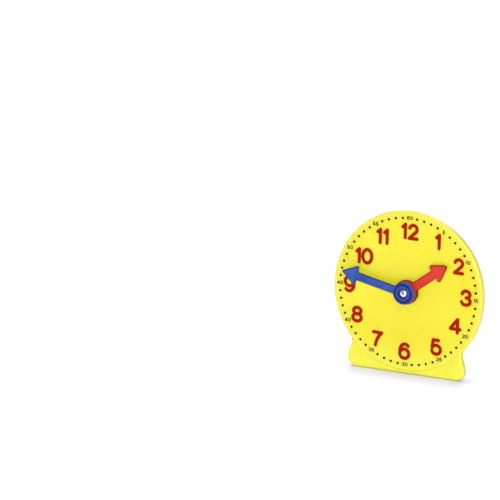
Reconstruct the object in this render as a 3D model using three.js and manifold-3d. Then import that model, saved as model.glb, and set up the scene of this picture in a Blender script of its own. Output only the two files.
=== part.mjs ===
// A small geared teaching clock: a round dial on its own foot, two hands and a twelve-to-one gear train.
// Lengths are millimetres. In the exported group X runs to the right of the dial, Z is up and the dial
// faces -Y. Inside it the pieces are drawn as seen from the front: X right, Y up, Z out of the dial, with
// Z = 0 on the dial face and the hands' axis at X = Y = 0, so everything behind the dial has a negative Z.

import * as THREE from 'three';
import { mergeVertices } from 'three/addons/utils/BufferGeometryUtils.js';
import Module from 'manifold-3d';

const wasm = await Module();
wasm.setup();

// Driving dimensions of the case. Its sole lies a little below the disc, its foot is drawn in to a waist
// that meets the disc in a fillet, and its rim reaches back past the inside of the dial
const faceRadius = 51.3;
const soleDrop = 1.6;
const caseWall = 2.2;
const rimReach = 1.6;
const faceEdgeRadius = 1.5;
const rimBackEdgeRadius = 0.6;
const footStep = 0.4;
const footEdgeRadius = 1.8;
const footCornerRadius = 6;
const waistHalfWidth = 38.2;
const footFlare = 2.3;
const waistFillet = 5.8;
const flareShares = [0.42, 0.57];

// Driving dimensions of the rear cover, whose pan stands in from the outline of the case
const coverWall = 2;
const coverInset = 7.9;
const coverFootCornerRadius = 4;
const coverWaistInset = 7.2;
const coverFootFlare = 1.5;
const coverWaistFillet = 9;
const coverScrewRoom = 1.7;
const coverEdgeRadius = 1.4;
const coverSole = 3.6;
const lipThickness = 3.4;
const heelHalfWidth = 18;
const heelReach = 10;
const heelHeight = 25;
const heelToeHeight = 3.6;

// Clearances: between parts that rest on each other, and around a turning shaft
const seatGap = 0.3;
const runningGap = 0.1;
const overrun = 1;
const sameSpot = 0.001;
const weldSpan = 0.00001;

// Screws, the same for the case and the gear plate but for their lengths
const screwHeadRadius = 2.6;
const screwHeadHeight = 1.6;
const screwShankRadius = 1.2;
const screwPointLength = 0.9;
const screwPointShare = 0.35;
const screwCrownShares = { side: 0.55, bend: [0.82, 0.85], top: 0.42 };
const screwRecessShares = { span: 0.58, width: 0.13, depth: 0.6 };
const coverScrewGrip = 3.3;
const plateScrewGrip = 3.8;

// Where the case is screwed together
const bossRadius = 3.3;
const bossLength = 5.8;
const bossFloor = 0.8;
const postRadius = 4.1;
const postSeat = 3.6;
const counterboreGap = 0.4;
const postInset = 2.3;
const screwCircleAngles = [0.25 * Math.PI, 0.75 * Math.PI, -0.17 * Math.PI, -0.83 * Math.PI];
const footScrewRise = 8.8;

// Gear train: both pairs share one centre distance, and together they slow the hour hand twelve times
const gearModule = 0.8;
const minutePinionTeeth = 10;
const idlerWheelTeeth = 30;
const idlerPinionTeeth = 8;
const hourWheelTeeth = 32;
const pressureAngle = 25 * Math.PI / 180;
const addendumShare = 0.8;
const dedendumShare = 1.1;
const toothBacklash = 0.16;
const gearWidth = 2.3;
const gearSpacing = 0.6;
const gearDistance = gearModule * (minutePinionTeeth + idlerWheelTeeth) / 2;

// Shafts, tube and idler pin
const arborRadius = 2;
const arborFlat = 1.5;
const pivotRadius = 1.4;
const tubeWall = 1.1;
const tubeFlatShare = 0.84;
const idlerPinRadius = 1;
const idlerPinFloor = 1;
const idlerCollarRadius = 2.3;
const bearingCollarRadius = 5.4;
const bearingCollarHeight = 0.5;

// Gear plate that closes the train from behind
const plateThickness = 1.8;
const plateGap = 1;
const plateCornerRadius = 4.6;
const plateEarGap = 5.4;
const plateEarAngle = 0.1 * Math.PI;
const plateTailGap = 2;
const platePostRadius = 2.7;
const platePostFloor = 1.1;

// Friction washer, a wavy spring ring between the pinion and the gear plate
const washerThickness = 0.22;
const washerWaves = 3;
const washerInnerGap = 0.3;
const washerOuterRadius = 3.6;
const washerWaveHeight = 0.16;

// Hands: 1:47 on the dial
const minuteHandTurn = 282 * Math.PI / 180;
const hourHandTurn = 53.5 * Math.PI / 180;
const hourHubRadius = 7.7;
const minuteHubRadius = 7.15;
const hubEdge = 0.5;
const minuteHubBackEdge = 1.7;
const handEdge = 0.55;
const hourHubBack = 0.4;
const hourHubHeight = 2.2;
const hourHandThickness = 1.7;
const hourHandLength = 33.4;
const hourArmWidth = 5.75;
const hourHeadWidth = 12;
const hourHeadLength = 10.8;
const hourHeadCorner = 0.9;
const minuteHubHeight = 3.4;
const minuteHandThickness = 1.7;
const minuteHandDrop = 0.3;
const minuteHandLength = 43.95;
const minuteArmWidth = 5.4;
const minuteHeadWidth = 12.6;
const minuteHeadLength = 10.6;
const minuteHeadCorner = 0.3;
const minuteRimWidth = 0.5;
const minuteGrooveWidth = 1.2;
const minuteGrooveDepth = 0.8;
const minuteCrownRise = 0.2;
const minuteCounterboreRadius = 3.4;
const minuteCounterboreDepth = 1.3;
const minuteWebThickness = 0.6;

// Screw on the end of the arbor
const handScrewHeadRadius = 2.1;
const handScrewHeadHeight = 1.2;
const handScrewShankRadius = 0.9;
const handScrewLength = 6;
const handScrewHoleGap = 0.15;

// Finish: counts of flats on round work
const faceSides = 80;
const hubSides = 44;
const roundSides = 24;
const screwSides = 12;
const edgeSteps = 3;
const cornerSteps = 5;
const flareSteps = 6;
const flankSteps = 2;
const washerSides = 36;

// Levels along Z that several pieces share
const axisHeight = faceRadius + soleDrop;
const footLevel = -axisHeight;
const footFront = -footStep;
const dialBack = footFront - caseWall;
const rimBack = dialBack - rimReach;
const lipFront = dialBack - seatGap;
const collarBack = dialBack - bearingCollarHeight;
const hourWheelFront = collarBack - seatGap;
const hourWheelBack = hourWheelFront - gearWidth;
const idlerWheelFront = hourWheelBack - gearSpacing;
const idlerWheelBack = idlerWheelFront - gearWidth;
const plateFront = idlerWheelBack - plateGap;
const plateBack = plateFront - plateThickness;
const plateScrewSeat = plateBack - seatGap;
const coverBack = plateScrewSeat - screwHeadHeight - coverScrewRoom - coverWall;
const bossBack = dialBack - bossLength;
const postBack = coverBack + postSeat;
const coverScrewSeat = postBack - seatGap;
const platePostBack = plateFront + seatGap;
const hourHubFront = hourHubBack + hourHubHeight;
const minuteHubBack = hourHubFront + seatGap;
const minuteHubFront = minuteHubBack + minuteHubHeight;
const minuteCrownFront = minuteHubFront + minuteCrownRise;
const counterboreFloor = minuteCrownFront - minuteCounterboreDepth;
const arborFront = counterboreFloor - minuteWebThickness - seatGap;
const handScrewSeat = counterboreFloor + seatGap;
const handScrewFront = handScrewSeat + handScrewHeadHeight;
const tubeBore = arborRadius + runningGap;
const tubeRadius = tubeBore + tubeWall;

// Places that several pieces share
const gearTipRadius = (teeth) => gearModule * (teeth / 2 + addendumShare);
const platePostReach = gearTipRadius(hourWheelTeeth) + platePostRadius + plateEarGap;
const plateEarX = platePostReach * Math.cos(plateEarAngle);
const plateEarY = platePostReach * Math.sin(plateEarAngle);
const plateTailY = -gearDistance - gearTipRadius(idlerWheelTeeth) - platePostRadius - plateTailGap;
const coverRadius = faceRadius - coverInset;
const screwCircleRadius = coverRadius - coverWall - postRadius - postInset;
const coverWaistHalfWidth = waistHalfWidth - coverWaistInset;
const footScrewHalfSpan = coverWaistHalfWidth - coverWall - bossRadius - seatGap;

const colours = {
  yellow: { color: 0xf6e73a, roughness: 0.42, metalness: 0 },
  blue: { color: 0x2f4fae, roughness: 0.38, metalness: 0 },
  red: { color: 0xd8321f, roughness: 0.38, metalness: 0 },
  white: { color: 0xe9e6dc, roughness: 0.5, metalness: 0 },
  steel: { color: 0xc9ccd0, roughness: 0.3, metalness: 1 },
};

// A closed solid from a three.js geometry, and the way back
function toSolid(geometry) {
  const shell = geometry.clone();
  shell.deleteAttribute('normal');
  shell.deleteAttribute('uv');
  const merged = mergeVertices(shell, weldSpan);
  return new wasm.Manifold(new wasm.Mesh({
    numProp: 3,
    vertProperties: new Float32Array(merged.attributes.position.array),
    triVerts: new Uint32Array(merged.index.array),
  }));
}

function toGeometry(solid) {
  const { vertProperties, triVerts } = solid.getMesh();
  const geometry = new THREE.BufferGeometry();
  geometry.setAttribute('position', new THREE.BufferAttribute(vertProperties, 3));
  geometry.setIndex(new THREE.BufferAttribute(triVerts, 1));
  geometry.computeVertexNormals();
  return geometry;
}

function join(...solids) {
  return solids.reduce((whole, solid) => whole.add(solid));
}

function cut(body, ...tools) {
  return tools.reduce((rest, tool) => rest.subtract(tool), body);
}

// A straight round bar along Z between two levels
function bar(radius, back, front, x = 0, y = 0, sides = roundSides) {
  const geometry = new THREE.CylinderGeometry(radius, radius, front - back, sides);
  geometry.rotateX(Math.PI / 2);
  geometry.translate(x, y, (back + front) / 2);
  return toSolid(geometry);
}

// A box between two levels, set off from the axis and then turned about it
function block(width, height, back, front, x = 0, y = 0, turn = 0) {
  const geometry = new THREE.BoxGeometry(width, height, front - back);
  geometry.translate(x, y, (back + front) / 2);
  geometry.rotateZ(turn);
  return toSolid(geometry);
}

// A body of revolution about Z from [radius, level] pairs that run from back to front
function turned(profile, sides = roundSides) {
  const points = profile.map(([radius, level]) => new THREE.Vector2(radius, level));
  const geometry = new THREE.LatheGeometry(points, sides);
  geometry.rotateX(Math.PI / 2);
  return toSolid(geometry);
}

// An outline raised between two levels, with both rims rounded off by edge
function raised(outline, back, front, edge = 0) {
  const geometry = new THREE.ExtrudeGeometry(outline, {
    depth: front - back - 2 * edge,
    bevelEnabled: edge > 0,
    bevelThickness: edge,
    bevelSize: edge,
    bevelOffset: -edge,
    bevelSegments: edgeSteps,
  });
  geometry.translate(0, 0, back + edge);
  return toSolid(geometry);
}

function arc(x, y, radius, from, to, steps) {
  return new THREE.EllipseCurve(x, y, radius, radius, from, to, to < from).getPoints(steps);
}

function mirrored(points) {
  return points.map((point) => new THREE.Vector2(-point.x, point.y)).reverse();
}

function outlineOf(points) {
  const kept = points.filter((point, index) => {
    const before = points[(index + points.length - 1) % points.length];
    return point.distanceTo(before) > sameSpot;
  });
  return new THREE.Shape(kept);
}

// The outline sizes of the case and of the cover behind it, and the same outline drawn in by an even wall
const caseForm = {
  radius: faceRadius,
  halfWidth: waistHalfWidth + footFlare,
  corner: footCornerRadius,
  waist: waistHalfWidth,
  fillet: waistFillet,
  bottom: footLevel,
};

const coverForm = {
  radius: coverRadius,
  halfWidth: coverWaistHalfWidth + coverFootFlare,
  corner: coverFootCornerRadius,
  waist: coverWaistHalfWidth,
  fillet: coverWaistFillet,
  bottom: footLevel,
};

function drawnIn(form, wall) {
  return {
    radius: form.radius - wall,
    halfWidth: form.halfWidth - wall,
    corner: form.corner - wall,
    waist: form.waist - wall,
    fillet: form.fillet + wall,
    bottom: form.bottom + wall,
  };
}

// The foot seen from the front: straight sole, round corners, flared sides and the fillet up to the disc.
// Inside the disc it closes along two circles that pass through the disc's centre and touch its rim
function footOutline({ radius, halfWidth, corner, waist, fillet, bottom }) {
  const shoulder = bottom + corner;
  const filletX = waist + fillet;
  const filletY = -Math.sqrt((radius + fillet) ** 2 - filletX ** 2);
  const meetAngle = Math.atan2(filletY, filletX);
  const meetX = radius * Math.cos(meetAngle);
  const meetY = radius * Math.sin(meetAngle);
  const flare = new THREE.CubicBezierCurve(
    new THREE.Vector2(halfWidth, shoulder),
    new THREE.Vector2(halfWidth, shoulder + flareShares[0] * (filletY - shoulder)),
    new THREE.Vector2(waist, shoulder + flareShares[1] * (filletY - shoulder)),
    new THREE.Vector2(waist, filletY),
  );
  const right = [
    ...arc(halfWidth - corner, shoulder, corner, -Math.PI / 2, 0, cornerSteps),
    ...flare.getPoints(flareSteps),
    ...arc(filletX, filletY, fillet, Math.PI, Math.PI + meetAngle, cornerSteps),
    ...arc(meetX / 2, meetY / 2, radius / 2, meetAngle, meetAngle + Math.PI, cornerSteps),
  ];
  return outlineOf([...right, ...mirrored(right)]);
}

// A disc and foot in one, between two levels. The rims may be rounded at the front and the back, and the
// foot may start a step lower than the disc, with a rounding of its own
function clockBlank(form, back, front, { frontEdge = 0, backEdge = 0, footEdge = 0, step = 0 } = {}) {
  const { radius } = form;
  const rim = (edge, level, from) => (edge > 0
    ? arc(radius - edge, level, edge, from, from + Math.PI / 2, edgeSteps).map(({ x, y }) => [x, y])
    : [[radius, level]]);
  const disc = turned([
    [0, back],
    ...rim(backEdge, back + backEdge, -Math.PI / 2),
    ...rim(frontEdge, front - frontEdge, 0),
    [0, front],
  ], faceSides);
  const outline = footOutline(form);
  const roundBehind = raised(outline, back, front + 2 * backEdge + overrun, backEdge);
  const roundInFront = raised(outline, back - 2 * footEdge - overrun, front - step, footEdge);
  return join(disc, roundBehind.intersect(roundInFront));
}

// A gear's outline. Flanks are involute above the base circle and run straight in below it
function gearOutline(teeth, phase, boreRadius) {
  const pitchRadius = gearModule * teeth / 2;
  const baseRadius = pitchRadius * Math.cos(pressureAngle);
  const tipRadius = gearTipRadius(teeth);
  const rootRadius = pitchRadius - dedendumShare * gearModule;
  const involute = (angle) => Math.tan(angle) - angle;
  const pitchHalfAngle = Math.PI / (2 * teeth) - toothBacklash / (2 * pitchRadius);
  const halfAngle = (radius) => pitchHalfAngle + involute(pressureAngle)
    - involute(Math.acos(Math.min(1, baseRadius / radius)));
  const flankFoot = Math.max(baseRadius, rootRadius);
  const levels = [rootRadius];
  for (let step = 0; step <= flankSteps; step += 1) {
    levels.push(flankFoot + (tipRadius - flankFoot) * step / flankSteps);
  }
  const points = [];
  for (let tooth = 0; tooth < teeth; tooth += 1) {
    const middle = phase + 2 * Math.PI * tooth / teeth;
    const corner = (radius, side) => new THREE.Vector2(
      radius * Math.cos(middle + side * halfAngle(radius)),
      radius * Math.sin(middle + side * halfAngle(radius)),
    );
    points.push(...levels.map((radius) => corner(radius, -1)));
    points.push(...levels.map((radius) => corner(radius, 1)).reverse());
  }
  const outline = outlineOf(points);
  if (boreRadius > 0) {
    outline.holes.push(new THREE.Path(arc(0, 0, boreRadius, 0, -2 * Math.PI, roundSides).slice(1)));
  }
  return outline;
}

// Self-tapping screw along Z, head towards +Z, with its seat at Z = 0 and a cross recess in its head
function screwSolid(headRadius, headHeight, shankRadius, length) {
  const [bendRadiusShare, bendHeightShare] = screwCrownShares.bend;
  const body = turned([
    [0, -length],
    [screwPointShare * shankRadius, -length],
    [shankRadius, -length + screwPointLength],
    [shankRadius, 0],
    [headRadius, 0],
    [headRadius, screwCrownShares.side * headHeight],
    [bendRadiusShare * headRadius, bendHeightShare * headHeight],
    [screwCrownShares.top * headRadius, headHeight],
    [0, headHeight],
  ], screwSides);
  const span = 2 * screwRecessShares.span * headRadius;
  const width = 2 * screwRecessShares.width * headRadius;
  const floor = (1 - screwRecessShares.depth) * headHeight;
  const slot = block(span, width, floor, headHeight + overrun);
  const cross = block(width, span, floor, headHeight + overrun);
  return cut(body, slot, cross);
}

const coverScrewPlaces = [
  ...screwCircleAngles.map((angle) => ({
    x: screwCircleRadius * Math.cos(angle),
    y: screwCircleRadius * Math.sin(angle),
  })),
  { x: footScrewHalfSpan, y: footLevel + footScrewRise },
  { x: -footScrewHalfSpan, y: footLevel + footScrewRise },
];

const platePlaces = [
  { x: plateEarX, y: plateEarY },
  { x: -plateEarX, y: plateEarY },
  { x: 0, y: plateTailY },
];

function frontCase() {
  const shell = cut(
    clockBlank(caseForm, rimBack, 0, {
      frontEdge: faceEdgeRadius,
      backEdge: rimBackEdgeRadius,
      footEdge: footEdgeRadius,
      step: footStep,
    }),
    clockBlank(drawnIn(caseForm, caseWall), rimBack - overrun, dialBack),
  );
  const root = dialBack / 2;
  const solids = [
    ...coverScrewPlaces.map(({ x, y }) => bar(bossRadius, bossBack, root, x, y)),
    ...platePlaces.map(({ x, y }) => bar(platePostRadius, platePostBack, root, x, y)),
    bar(bearingCollarRadius, collarBack, root),
    bar(idlerCollarRadius, collarBack, root, 0, -gearDistance),
  ];
  const screwHole = screwShankRadius + seatGap;
  const holes = [
    ...coverScrewPlaces.map(({ x, y }) => bar(
      screwHole, bossBack - overrun, dialBack - bossFloor, x, y, screwSides)),
    ...platePlaces.map(({ x, y }) => bar(
      screwHole, platePostBack - overrun, dialBack - platePostFloor, x, y, screwSides)),
    bar(tubeRadius + runningGap, collarBack - overrun, overrun),
    bar(idlerPinRadius + runningGap, collarBack - overrun, -idlerPinFloor, 0, -gearDistance),
  ];
  return cut(join(shell, ...solids), ...holes);
}

// A block drawn from the side, as [level, height] points, and as wide as twice its half width
function sideBlock(points, halfWidth) {
  const outline = new THREE.Shape(points.map(([level, height]) => new THREE.Vector2(level, height)));
  const geometry = new THREE.ExtrudeGeometry(outline, { depth: 2 * halfWidth, bevelEnabled: false });
  geometry.translate(0, 0, -halfWidth);
  geometry.rotateY(-Math.PI / 2);
  return toSolid(geometry);
}

// The heel keeps the clock from tipping back. Its slope starts on the cover and ends above a low toe
const heelTop = footLevel + heelHeight;
const heelToe = footLevel + heelToeHeight;
const heelSlope = heelReach / (heelTop - heelToe);

function heel() {
  return sideBlock([
    [coverBack - heelReach, footLevel],
    [coverBack + coverWall / 2, footLevel],
    [coverBack + coverWall / 2, heelTop],
    [coverBack, heelTop],
    [coverBack - heelReach, heelToe],
  ], heelHalfWidth);
}

function heelHollow() {
  const solePlane = footLevel + coverSole;
  const slopeShift = coverWall * Math.hypot(1, heelSlope);
  const front = coverBack + slopeShift;
  return sideBlock([
    [front - (heelTop - solePlane) * heelSlope, solePlane],
    [front, solePlane],
    [front, heelTop],
  ], heelHalfWidth - coverWall);
}

function rearCover() {
  const hollow = { ...drawnIn(coverForm, coverWall), bottom: footLevel + coverSole };
  const shell = cut(
    join(
      clockBlank(coverForm, coverBack, rimBack - seatGap, { backEdge: coverEdgeRadius }),
      clockBlank(drawnIn(caseForm, caseWall + seatGap), lipFront - lipThickness, lipFront),
      heel(),
    ),
    clockBlank(hollow, coverBack + coverWall, lipFront + overrun),
    heelHollow(),
  );
  const postFront = bossBack - seatGap;
  const posts = coverScrewPlaces.map(({ x, y }) => bar(postRadius, coverBack + coverWall / 2, postFront, x, y));
  const holes = coverScrewPlaces.flatMap(({ x, y }) => [
    bar(screwShankRadius + seatGap, coverBack - overrun, postFront + overrun, x, y, screwSides),
    bar(screwHeadRadius + counterboreGap, coverBack - overrun, postBack, x, y),
  ]);
  return cut(join(shell, ...posts), ...holes);
}

// A plate with two ears and a tail, each rounded about its screw
function gearPlate() {
  const sideNormal = Math.atan2(plateEarX, plateEarY - plateTailY);
  const outline = outlineOf([
    ...arc(plateEarX, plateEarY, plateCornerRadius, -sideNormal, Math.PI / 2, cornerSteps),
    ...arc(-plateEarX, plateEarY, plateCornerRadius, Math.PI / 2, Math.PI + sideNormal, cornerSteps),
    ...arc(0, plateTailY, plateCornerRadius, Math.PI + sideNormal, 2 * Math.PI - sideNormal, cornerSteps),
  ]);
  const bores = [
    bar(pivotRadius + runningGap, plateBack - overrun, plateFront + overrun),
    bar(idlerPinRadius + runningGap, plateBack - overrun, plateFront + overrun, 0, -gearDistance),
    ...platePlaces.map(({ x, y }) => bar(
      screwShankRadius + seatGap, plateBack - overrun, plateFront + overrun, x, y, screwSides)),
  ];
  return cut(raised(outline, plateBack, plateFront), ...bores);
}

// Tooth of the pinion, gap of the wheel and so on, all on the line between the two axes
const towardsIdler = -Math.PI / 2;
const towardsCentre = Math.PI / 2;

function hourWheel() {
  const toothGap = towardsIdler + Math.PI / hourWheelTeeth;
  const wheel = raised(gearOutline(hourWheelTeeth, toothGap, tubeBore), hourWheelBack, hourWheelFront);
  const tube = bar(tubeRadius, hourWheelBack, hourHubFront - seatGap);
  const bore = bar(tubeBore, hourWheelBack - overrun, hourHubFront + overrun);
  const flatBack = hourHubBack - runningGap;
  const flatX = tubeFlatShare * tubeRadius + tubeRadius / 2;
  const flats = [flatX, -flatX].map((x) => block(
    tubeRadius, 4 * tubeRadius, flatBack, hourHubFront + overrun, x, 0, -hourHandTurn));
  return cut(join(wheel, tube), bore, ...flats);
}

function idlerGear() {
  const pinionFront = hourWheelFront;
  const wheelPhase = towardsCentre + Math.PI / idlerWheelTeeth;
  const wheel = raised(gearOutline(idlerWheelTeeth, wheelPhase, 0), idlerWheelBack, idlerWheelFront);
  const pinion = raised(gearOutline(idlerPinionTeeth, towardsCentre, 0), idlerWheelFront - overrun, pinionFront);
  const collar = bar(idlerCollarRadius, plateFront + seatGap, idlerWheelBack + overrun);
  const bore = bar(idlerPinRadius + runningGap, plateFront, pinionFront + overrun);
  return cut(join(wheel, pinion, collar), bore);
}

function minuteArbor() {
  const pinion = raised(gearOutline(minutePinionTeeth, towardsIdler, 0), idlerWheelBack, idlerWheelFront);
  const shaft = bar(arborRadius, idlerWheelBack, arborFront);
  const pivot = bar(pivotRadius, plateBack, idlerWheelBack + overrun);
  const flat = block(
    4 * arborRadius, arborRadius, minuteHubBack, arborFront + overrun,
    0, arborFlat + arborRadius / 2, -minuteHandTurn);
  const hole = bar(
    handScrewShankRadius + handScrewHoleGap,
    handScrewSeat - handScrewLength - seatGap,
    arborFront + overrun, 0, 0, screwSides);
  return cut(join(pinion, shaft, pivot), flat, hole);
}

// A hand's arm and arrow head seen from the front, pointing at twelve. The head's three corners are round,
// by frontCorner on the flat front and by more around the rounded edge
function handOutline(length, armWidth, headWidth, headLength, frontCorner) {
  const corner = frontCorner + handEdge;
  const headBack = length - headLength;
  const barbX = headWidth / 2 - corner;
  const barbY = headBack + corner;
  const tipY = length - corner;
  const edgeNormal = Math.atan2(barbX, tipY - barbY);
  const right = [
    new THREE.Vector2(armWidth / 2, 0),
    new THREE.Vector2(armWidth / 2, headBack),
    ...arc(barbX, barbY, corner, -Math.PI / 2, edgeNormal, cornerSteps),
    ...arc(0, tipY, corner, edgeNormal, Math.PI / 2, cornerSteps),
  ];
  return outlineOf([...right, ...mirrored(right)]);
}

function hourHand() {
  const outline = handOutline(hourHandLength, hourArmWidth, hourHeadWidth, hourHeadLength, hourHeadCorner);
  const arm = raised(outline, hourHubFront - hourHandThickness, hourHubFront, handEdge);
  const hub = turned([
    [0, hourHubBack],
    [hourHubRadius, hourHubBack],
    [hourHubRadius, hourHubFront - hubEdge],
    [hourHubRadius - hubEdge, hourHubFront],
    [0, hourHubFront],
  ], hubSides);
  const seat = bar(tubeRadius + runningGap, hourHubBack - overrun, hourHubFront + overrun);
  const flat = tubeFlatShare * tubeRadius + runningGap;
  const key = block(2 * flat, 4 * tubeRadius, hourHubBack - overrun, hourHubFront + overrun);
  return cut(join(arm, hub), seat.intersect(key));
}

function minuteHand() {
  const outline = handOutline(
    minuteHandLength, minuteArmWidth, minuteHeadWidth, minuteHeadLength, minuteHeadCorner);
  const armFront = minuteHubFront - minuteHandDrop;
  const rimInner = minuteHubRadius - hubEdge - minuteRimWidth;
  const crownRadius = rimInner - minuteGrooveWidth;
  const arm = cut(
    raised(outline, armFront - minuteHandThickness, armFront, handEdge),
    bar(rimInner, minuteHubBack, minuteCrownFront));
  const hub = turned([
    [0, minuteHubBack],
    [minuteHubRadius - minuteHubBackEdge, minuteHubBack],
    [minuteHubRadius, minuteHubBack + minuteHubBackEdge],
    [minuteHubRadius, minuteHubFront - hubEdge],
    [minuteHubRadius - hubEdge, minuteHubFront],
    [rimInner, minuteHubFront],
    [rimInner - minuteGrooveWidth / 2, minuteHubFront - minuteGrooveDepth],
    [crownRadius, minuteCrownFront],
    [0, minuteCrownFront],
  ], hubSides);
  const counterbore = bar(minuteCounterboreRadius, counterboreFloor, minuteCrownFront + overrun);
  const screwHole = bar(
    handScrewShankRadius + handScrewHoleGap, minuteHubBack, counterboreFloor + overrun, 0, 0, screwSides);
  const socket = bar(arborRadius + runningGap, minuteHubBack - overrun, arborFront + seatGap);
  const flat = block(
    4 * arborRadius, arborFlat + runningGap + 2 * arborRadius, minuteHubBack - overrun,
    arborFront + seatGap, 0, (arborFlat + runningGap - 2 * arborRadius) / 2);
  return cut(join(arm, hub), counterbore, screwHole, socket.intersect(flat));
}

// The spring ring waves gently along Z, so that it presses on both of its neighbours
function frictionWasher() {
  const inner = pivotRadius + washerInnerGap;
  const middle = (plateFront + idlerWheelBack) / 2;
  const half = washerThickness / 2;
  const section = [
    [inner, middle - half],
    [washerOuterRadius, middle - half],
    [washerOuterRadius, middle + half],
    [inner, middle + half],
    [inner, middle - half],
  ].map(([radius, level]) => new THREE.Vector2(radius, level));
  const ring = new THREE.LatheGeometry(section, washerSides);
  ring.rotateX(Math.PI / 2);
  const place = ring.attributes.position;
  for (let index = 0; index < place.count; index += 1) {
    const angle = Math.atan2(place.getY(index), place.getX(index));
    place.setZ(index, place.getZ(index) + washerWaveHeight * Math.cos(washerWaves * angle));
  }
  return toSolid(ring);
}

function addPiece(parent, name, solid, finish) {
  const mesh = new THREE.Mesh(toGeometry(solid), new THREE.MeshStandardMaterial(finish));
  mesh.name = name;
  parent.add(mesh);
  return mesh;
}

const clock = new THREE.Group();
clock.rotation.x = Math.PI / 2;
clock.position.set(0, (handScrewFront + coverBack - heelReach) / 2, axisHeight);

addPiece(clock, 'front_case', frontCase(), colours.yellow);
addPiece(clock, 'rear_cover', rearCover(), colours.yellow);
addPiece(clock, 'gear_plate', gearPlate(), colours.white);
addPiece(clock, 'hour_wheel', hourWheel(), colours.white);
addPiece(clock, 'minute_arbor', minuteArbor(), colours.white);
addPiece(clock, 'idler_gear', idlerGear(), colours.white).position.y = -gearDistance;
addPiece(clock, 'friction_washer', frictionWasher(), colours.steel);

const idlerPin = bar(
  idlerPinRadius, plateBack, -idlerPinFloor - seatGap, 0, -gearDistance);
addPiece(clock, 'idler_pin', idlerPin, colours.steel);

addPiece(clock, 'hour_hand', hourHand(), colours.red).rotation.z = -hourHandTurn;
addPiece(clock, 'minute_hand', minuteHand(), colours.blue).rotation.z = -minuteHandTurn;

const handScrew = screwSolid(
  handScrewHeadRadius, handScrewHeadHeight, handScrewShankRadius, handScrewLength);
addPiece(clock, 'hand_screw', handScrew, colours.steel).position.z = handScrewSeat;

// The screws behind the dial go in from the back, so each one is turned about the upright. A screw reaches
// from its seat to its point
function addRearScrews(name, places, seat, point) {
  const screw = screwSolid(screwHeadRadius, screwHeadHeight, screwShankRadius, point - seat);
  places.forEach(({ x, y }, index) => {
    const mesh = addPiece(clock, `${name}_${index + 1}`, screw, colours.steel);
    mesh.rotation.y = Math.PI;
    mesh.position.set(x, y, seat);
  });
}

addRearScrews('cover_screw', coverScrewPlaces, coverScrewSeat, bossBack + coverScrewGrip);
addRearScrews('gear_plate_screw', platePlaces, plateScrewSeat, platePostBack + plateScrewGrip);

const part = new THREE.Group();
part.add(clock);

export default part;
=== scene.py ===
# A small geared teaching clock, dressed for its portrait. Every piece is drawn in millimetres as it is seen
# from the front: X right, Y up, Z out of the dial, and zero where the hands' axis meets the dial. It is
# stood up in the frame when it is finished.
import math

import bpy
from mathutils import Matrix, Vector


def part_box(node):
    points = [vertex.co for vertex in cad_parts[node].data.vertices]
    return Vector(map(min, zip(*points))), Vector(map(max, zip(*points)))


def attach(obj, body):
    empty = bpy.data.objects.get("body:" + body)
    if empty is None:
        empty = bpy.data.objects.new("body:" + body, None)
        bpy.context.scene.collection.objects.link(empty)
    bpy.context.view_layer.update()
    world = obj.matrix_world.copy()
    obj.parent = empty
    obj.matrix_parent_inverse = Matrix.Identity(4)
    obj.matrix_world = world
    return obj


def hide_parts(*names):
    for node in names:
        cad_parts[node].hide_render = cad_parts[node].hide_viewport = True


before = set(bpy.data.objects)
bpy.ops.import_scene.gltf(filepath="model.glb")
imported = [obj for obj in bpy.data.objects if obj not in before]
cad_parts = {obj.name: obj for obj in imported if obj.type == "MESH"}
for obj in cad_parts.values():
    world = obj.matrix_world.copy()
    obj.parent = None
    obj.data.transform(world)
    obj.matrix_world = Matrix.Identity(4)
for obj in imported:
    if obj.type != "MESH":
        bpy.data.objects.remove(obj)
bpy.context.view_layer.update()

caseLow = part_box("front_case")[0]
wheelLow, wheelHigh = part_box("hour_wheel")
axisHeight = (wheelLow.z + wheelHigh.z) / 2
mm = 0.001
standUp = (
    Matrix.Translation((0, caseLow.y, axisHeight))
    @ Matrix.Rotation(math.pi / 2, 4, "X")
    @ Matrix.Scale(mm, 4))


def nodeBox(node):
    # a node's lowest and highest corners in the drawing's millimetres
    back = standUp.inverted()
    a, b = (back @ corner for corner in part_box(node))
    return Vector(map(min, a, b)), Vector(map(max, a, b))


def nodeMiddle(node):
    low, high = nodeBox(node)
    return (low + high) / 2


# Selecting, as by hand but told by place
def deselectAll():
    if bpy.context.mode != "OBJECT":
        bpy.ops.object.mode_set(mode="OBJECT")
    bpy.ops.object.select_all(action="DESELECT")


def objectMode():
    bpy.ops.object.mode_set(mode="OBJECT")


def pick(piece):
    deselectAll()
    piece.select_set(True)
    bpy.context.view_layer.objects.active = piece
    return piece


def named(name):
    piece = bpy.context.object
    piece.name = name
    piece.data.name = name
    return piece


def clearSelection(piece, faces):
    # nothing selected in the mesh, and edit mode ready to pick faces or edges
    pick(piece)
    bpy.context.tool_settings.mesh_select_mode = (False, not faces, faces)
    mesh = piece.data
    for group in (mesh.vertices, mesh.edges, mesh.polygons):
        group.foreach_set("select", [False] * len(group))
    return mesh


def editFaces(piece, chosen):
    # opens edit mode with the faces selected that lie where chosen(centre, normal) says
    mesh = clearSelection(piece, True)
    for face in mesh.polygons:
        face.select = bool(chosen(face.center, face.normal))
    bpy.ops.object.mode_set(mode="EDIT")


def editEdges(piece, chosen):
    # opens edit mode with the edges selected whose ends lie where chosen(a, b) says
    mesh = clearSelection(piece, False)
    for edge in mesh.edges:
        a, b = (mesh.vertices[index].co for index in edge.vertices)
        edge.select = bool(chosen(a, b))
    bpy.ops.object.mode_set(mode="EDIT")


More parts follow.
